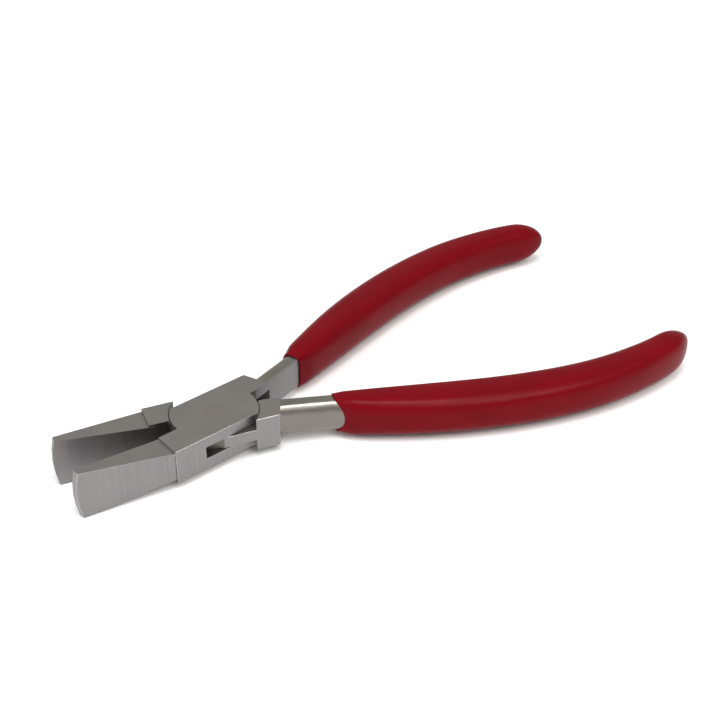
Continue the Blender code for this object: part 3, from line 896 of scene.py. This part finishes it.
@dataclass
class DippedGrip:
    """A grip of dipped plastic: a sleeve with a thin rim at its mouth and a domed end.

    The handle is drawn closed and above the centre line, as in the solid, then turned and mirrored.
    """

    name: str
    node: str
    body: str
    hand: Hand
    finish: bpy.types.Material
    lean: float
    set_back: float
    tang_angle: float = TANG_ANGLE
    tang_width: float = 4.1 * MM
    core_height: float = 7.9 * MM
    wide_width: float = 8.7 * MM
    end_width: float = 4.6 * MM
    mouth: Vector = field(default_factory=lambda: Vector((25.6 * MM, 5.94 * MM)))
    wide_x: float = 56.0 * MM
    bow: Vector = field(default_factory=lambda: Vector((83.0 * MM, 18.0 * MM)))
    end: Vector = field(default_factory=lambda: Vector((114.2 * MM, 10.3 * MM)))
    end_angle: float = math.radians(-38)
    mouth_pull: float = 9.0 * MM
    bow_front_pull: float = 24.0 * MM
    bow_rear_pull: float = 10.0 * MM
    end_pull: float = 8.0 * MM
    rim_wall: float = 0.5 * MM
    full_wall: float = 1.0 * MM
    inner_clearance: float = 0.3 * MM
    swell_length: float = 4.0 * MM
    dome: float = 8.0 * MM
    outline_points: int = 40
    curve_steps: int = 22
    dome_steps: int = 9
    mouth_bow: float = 0.6
    rim_clearance: float = 0.12 * MM
    rim_profile: tuple[tuple[float, float], ...] = ((0.10, 0.42), (0.15, 0.28), (0.12, 0.14), (0.0, 0.06))
    skin_mouth: tuple[float, float] = (2.5, 5.5)
    skin_body: float = 3.0
    skin_pole: float = 2.2
    sleeve_mouth: tuple[float, float] = (2.25, 7.0)
    sleeve_body: float = 3.4
    ring_crowding: float = 1.35
    sleeve_share_of_dome: float = 0.75
    set_back_reach: float = 2.5
    smooth: float = math.radians(50)

    def build(self) -> bpy.types.Object:
        """Model the grip.

        Returns:
            The dressed grip, riding on its lever's body.
        """
        path = self._path()
        outside = self._outside(path)
        grip = self._first_ring(outside[0])
        self._draw_out(grip, outside[1:])
        self._close_end()
        self._select_mouth(grip)
        self._draw_out(grip, self._rim(path[0]) + self._inside(path))
        self._close_end()
        bpy.ops.mesh.select_all(action="SELECT")
        bpy.ops.mesh.remove_doubles(threshold=MERGE_DISTANCE)
        bpy.ops.mesh.normals_make_consistent(inside=False)
        bpy.ops.object.mode_set(mode="OBJECT")
        make_active(grip)
        bpy.ops.object.shade_smooth_by_angle(angle=self.smooth)
        grip.data.materials.append(self.finish)
        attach(grip, self.body)
        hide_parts(self.node)
        return grip

    def _placed(self, point: Vector) -> Vector:
        """A point of the closed drawing, on this lever's side and turned open.

        Args:
            point: the point on the drawing.

        Returns:
            Its place on the open pliers.
        """
        open_point = turned(point, HALF_OPENING)
        return Vector((open_point.x, self.hand.value * open_point.y))

    def _path(self) -> list[tuple[Vector, Vector, float]]:
        """The handle's centre line.

        Returns:
            Points with their directions and distances from the mouth, on the closed drawing.
        """
        tang = Vector((math.cos(self.tang_angle), math.sin(self.tang_angle)))
        end_way = Vector((math.cos(self.end_angle), math.sin(self.end_angle)))
        level = Vector((1, 0))
        front = interpolate_bezier(self.mouth, self.mouth + tang * self.mouth_pull,
                                   self.bow - level * self.bow_front_pull, self.bow, self.curve_steps + 1)
        rear = interpolate_bezier(self.bow, self.bow + level * self.bow_rear_pull,
                                  self.end - end_way * self.end_pull, self.end, self.curve_steps + 1)
        points = [p.to_2d() for p in front + rear[1:]]
        path, distance = [], 0.0
        for i, point in enumerate(points):
            before, after = points[max(i - 1, 0)], points[min(i + 1, len(points) - 1)]
            distance += (point - points[max(i - 1, 0)]).length
            path.append((point, (after - before).normalized(), distance))
        path[0] = (path[0][0], tang, 0.0)
        path[-1] = (path[-1][0], end_way, path[-1][2])
        return path

    def _at(self, path: list[tuple[Vector, Vector, float]], distance: float) -> tuple[Vector, Vector]:
        """The point and direction at a distance along the centre line.

        Args:
            path: the centre line.
            distance: from the mouth.

        Returns:
            The point and the direction there.
        """
        for (here, way, start), (there, next_way, stop) in zip(path, path[1:]):
            if distance <= stop:
                share = max(0.0, (distance - start) / (stop - start))
                return here.lerp(there, share), way.lerp(next_way, share).normalized()
        return path[-1][0], path[-1][1]

    def _core_width(self, x: float) -> float:
        """Width of the steel inside the grip.

        Args:
            x: distance behind the pivot, on the closed drawing.

        Returns:
            The width there.
        """
        if x <= self.wide_x:
            share = min(1.0, (self.wide_x - x) / (self.wide_x - self.mouth.x))
            return self.wide_width - (self.wide_width - self.tang_width) * share ** 2
        share = (x - self.wide_x) / (self.end.x - self.wide_x)
        return self.wide_width - (self.wide_width - self.end_width) * share ** 2

    def _section(self, path: list[tuple[Vector, Vector, float]], distance: float, wall: float,
                 squareness: tuple[float, float], scale: float = 1.0) -> Section:
        """A section of the grip.

        Args:
            path: the centre line.
            distance: from the mouth.
            wall: how far it stands off the steel.
            squareness: exponents of its outline, outer side and inner side.
            scale: shrinks it towards the rounded end.

        Returns:
            The section, in its place.
        """
        point, way = self._at(path, distance)
        fade = max(0.0, 1 - distance / (self.set_back_reach * self.swell_length)) ** 2
        origin = self._placed(Vector((0, 0)))
        facing = (self._placed(way) - origin).normalized()
        half_width = (self._core_width(point.x) / 2 + wall) * scale * self.hand.value
        return Section(self._placed(point), facing, half_width, (self.core_height / 2 + wall) * scale,
                       squareness, self.set_back * fade)

    def _outside(self, path: list[tuple[Vector, Vector, float]]) -> list[Section]:
        """The sections of the skin, from the rim's outer edge to the last before the pole.

        Args:
            path: the centre line.

        Returns:
            The sections, in order.
        """
        length = path[-1][2]
        body_end = length - self.dome
        steps = 2 * self.curve_steps
        sections = []
        for i in range(steps + 1):
            distance = body_end * (i / steps) ** self.ring_crowding
            share = min(1.0, distance / self.swell_length)
            ease = share * share * (3 - 2 * share)
            wall = self.rim_wall + (self.full_wall - self.rim_wall) * ease
            square = self._softened(self.skin_mouth, self.skin_body, ease)
            sections.append(self._section(path, distance, wall, square))
        for i in range(1, self.dome_steps):
            angle = math.pi / 2 * i / self.dome_steps
            pole = (self.skin_pole, self.skin_pole)
            square = self._softened(pole, self.skin_body, 1 - i / self.dome_steps)
            sections.append(self._section(path, body_end + self.dome * math.sin(angle), self.full_wall,
                                          square, math.cos(angle)))
        return sections

    @staticmethod
    def _softened(start: tuple[float, float], end: float, share: float) -> tuple[float, float]:
        """Squareness on the way from one outline to a rounder or squarer one.

        Args:
            start: squareness of the outer and the inner side where the change begins.
            end: squareness of both sides where it ends.
            share: how far along the change is, 0 to 1.

        Returns:
            Squareness of the outer and the inner side.
        """
        return start[0] + (end - start[0]) * share, start[1] + (end - start[1]) * share

    def _rim(self, start: tuple[Vector, Vector, float]) -> list[Section]:
        """The rounded rim, rolled in from the skin's edge to the steel.

        Args:
            start: the first point of the centre line, with its direction.

        Returns:
            The rim's sections, in order.
        """
        point, way, _ = start
        origin = self._placed(Vector((0, 0)))
        facing = (self._placed(way) - origin).normalized()
        rim = []
        for forward, wall in self.rim_profile:
            centre = self._placed(point) - facing * (forward * MM)
            half_width = (self.tang_width / 2 + wall * MM) * self.hand.value
            rim.append(Section(centre, facing, half_width, self.core_height / 2 + wall * MM,
                               self.sleeve_mouth, self.set_back))
        return rim

    def _inside(self, path: list[tuple[Vector, Vector, float]]) -> list[Section]:
        """The sections of the sleeve's inner wall, from the rim to its blind end.

        Args:
            path: the centre line.

        Returns:
            The sections, in order.
        """
        length = path[-1][2] - self.dome * self.sleeve_share_of_dome
        steps = self.curve_steps
        sections = []
        for i in range(1, steps + 1):
            distance = length * i / steps
            ease = min(1.0, distance / self.swell_length)
            wall = self.rim_clearance + (self.inner_clearance - self.rim_clearance) * ease
            square = self._softened(self.sleeve_mouth, self.sleeve_body, ease)
            sections.append(self._section(path, distance, wall, square))
        return sections

    def _first_ring(self, section: Section) -> bpy.types.Object:
        """Add a circle and fit it to the mouth; each point keeps its turn in an attribute.

        Args:
            section: the skin's section at the mouth.

        Returns:
            The new object, in edit mode, with the ring selected.
        """
        deselect_all()
        bpy.ops.mesh.primitive_circle_add(vertices=self.outline_points, radius=1.0)
        grip = bpy.context.active_object
        grip.name = self.name
        bpy.ops.object.mode_set(mode="EDIT")
        bpy.ops.mesh.select_mode(type="EDGE")
        bm = edit_bmesh(grip)
        turn = bm.verts.layers.float.new("turn")
        for vert in bm.verts:
            vert[turn] = math.atan2(vert.co.y, vert.co.x)
        bmesh.update_edit_mesh(grip.data)
        self._fit_selected(grip, section)
        return grip

    def _fit_selected(self, grip: bpy.types.Object, section: Section) -> None:
        """Move the selected ring onto a section.

        Args:
            grip: the object, in edit mode.
            section: where the ring goes.
        """
        bm = edit_bmesh(grip)
        turn = bm.verts.layers.float["turn"]
        for vert in bm.verts:
            if vert.select:
                vert.co = section.point(vert[turn], self.lean, self.mouth_bow)
        bmesh.update_edit_mesh(grip.data)

    def _draw_out(self, grip: bpy.types.Object, sections: list[Section]) -> None:
        """Extrude the selected ring through a row of sections.

        Args:
            grip: the object, in edit mode.
            sections: the rings to make, in order.
        """
        for section in sections:
            bpy.ops.mesh.extrude_region_move()
            self._fit_selected(grip, section)

    @staticmethod
    def _close_end() -> None:
        """Extrude the selected ring and draw it together to a point."""
        bpy.ops.mesh.extrude_region_move()
        bpy.ops.mesh.merge(type="CENTER")

    @staticmethod
    def _select_mouth(grip: bpy.types.Object) -> None:
        """Select the open ring at the mouth.

        Args:
            grip: the object, in edit mode.
        """
        bpy.ops.mesh.select_mode(type="EDGE")
        bpy.ops.mesh.select_all(action="DESELECT")
        bm = edit_bmesh(grip)
        for edge in bm.edges:
            edge.select_set(edge.is_boundary)
        bmesh.update_edit_mesh(grip.data)


# ---- studio ----

@dataclass(frozen=True)
class Softbox:
    """A square area light that faces the pliers."""

    name: str
    azimuth: float
    elevation: float
    distance: float
    size: float
    power: float
    colour: tuple[float, float, float] = (1.0, 1.0, 1.0)


def direction(azimuth: float, elevation: float) -> Vector:
    """The way from the pliers to something that stands round them.

    Args:
        azimuth: 0 is in front, on -Y, and 90 is on +X, in degrees.
        elevation: above the horizon, in degrees.

    Returns:
        A unit vector.
    """
    around, up = math.radians(azimuth), math.radians(elevation)
    return Vector((math.sin(around) * math.cos(up), -math.cos(around) * math.cos(up), math.sin(up)))


@dataclass
class Studio:
    """A pale floor, soft light and the camera."""

    target: Vector = field(default_factory=lambda: Vector((40.31, 4.94, 4.1)) * MM)
    camera_distance: float = 321.1 * MM
    camera_azimuth: float = -31.14
    camera_elevation: float = 35.15
    lens: float = 68.13
    floor_size: float = 6.0
    floor_gap: float = 0.02 * MM
    floor_unevenness: float = 0.985
    floor_roughness: float = 0.9
    patch_scale: float = 3.0
    floor_colour: tuple[float, float, float, float] = (0.93, 0.93, 0.93, 1.0)
    sky_colour: tuple[float, float, float, float] = (0.50, 0.495, 0.49, 1.0)
    softboxes: tuple[Softbox, ...] = (
        Softbox("key_softbox", 10, 50, 0.9, 0.45, 4.0, (1.0, 0.97, 0.93)),
        Softbox("top_softbox", -20, 80, 1.2, 0.5, 7.0),
        Softbox("side_softbox", -95, 40, 1.1, 0.6, 5.0, (0.95, 0.97, 1.0)),
    )

    def build(self) -> None:
        """Set the floor, the lights and the camera."""
        self._floor()
        for softbox in self.softboxes:
            self._light(softbox)
        self._sky()
        self._camera()

    def _floor(self) -> None:
        """Lay the floor just under the lowest point of the pliers."""
        deselect_all()
        height = CAD_BOX[0].z - self.floor_gap
        bpy.ops.mesh.primitive_plane_add(size=self.floor_size, location=(0, 0, height))
        floor = bpy.context.active_object
        floor.name = "studio_floor"
        bpy.ops.object.transform_apply(location=True, rotation=True, scale=True)
        paper = bpy.data.materials.new("pale_paper")
        paper.use_nodes = True
        graph = ShaderGraph(paper.node_tree)
        shader = paper.node_tree.nodes["Principled BSDF"]
        place = graph.node("ShaderNodeTexCoord").outputs["Object"]
        shade = tuple(value * self.floor_unevenness for value in self.floor_colour[:3]) + (1.0,)
        patches = graph.noise(place, self.patch_scale)
        graph.feed(shader.inputs["Base Color"], graph.mix(patches, self.floor_colour, shade))
        shader.inputs["Roughness"].default_value = self.floor_roughness
        floor.data.materials.append(paper)

    def _light(self, softbox: Softbox) -> None:
        """Hang one softbox.

        Args:
            softbox: its place and strength.
        """
        light = bpy.data.lights.new(softbox.name, "AREA")
        light.shape = "SQUARE"
        light.size = softbox.size
        light.energy = softbox.power
        light.color = softbox.colour
        lamp = bpy.data.objects.new(softbox.name, light)
        bpy.context.scene.collection.objects.link(lamp)
        way = direction(softbox.azimuth, softbox.elevation)
        lamp.location = self.target + way * softbox.distance
        lamp.rotation_euler = way.to_track_quat("Z", "Y").to_euler()

    def _sky(self) -> None:
        """Fill the room with even, soft light."""
        world = bpy.data.worlds.new("studio_sky")
        world.use_nodes = True
        world.node_tree.nodes["Background"].inputs["Color"].default_value = self.sky_colour
        bpy.context.scene.world = world

    def _camera(self) -> None:
        """Place the camera."""
        lens = bpy.data.cameras.new("studio_camera")
        lens.lens = self.lens
        lens.sensor_width = 36.0
        lens.clip_start = 0.01
        camera = bpy.data.objects.new("studio_camera", lens)
        bpy.context.scene.collection.objects.link(camera)
        way = direction(self.camera_azimuth, self.camera_elevation)
        camera.location = self.target + way * self.camera_distance
        camera.rotation_euler = way.to_track_quat("Z", "Y").to_euler()
        bpy.context.scene.camera = camera


def main() -> None:
    """Build and dress every piece, then the studio."""
    logging.basicConfig(level=logging.INFO, format="%(name)s: %(message)s")
    bpy.context.scene.view_settings.view_transform = "Standard"
    effects = SharedEffects()
    steel = SteelFinish().material(effects)
    rivet_steel = SteelFinish(name="ground_rivet_steel").material(effects, stained=True)
    vinyl = DippedPlastic().material(effects)

    pieces = (
        GroundLever("box_lever_steel", "box_half", "box_lever", Hand.BOX, steel),
        GroundLever("lap_lever_steel", "lap_half", "lap_lever", Hand.LAP, steel),
        FlushRivet("flush_rivet", "box_lever", rivet_steel),
        DippedGrip("box_lever_grip", "box_half_grip", "box_lever", Hand.BOX, vinyl, -1.0, 0.6 * MM),
        DippedGrip("lap_lever_grip", "lap_half_grip", "lap_lever", Hand.LAP, vinyl, 1.0, 2.4 * MM),
    )
    for piece in pieces:
        made = piece.build()
        log.info("%s: %d faces", made.name, len(made.data.polygons))
    Studio().build()


if __name__ == "__main__":
    main()
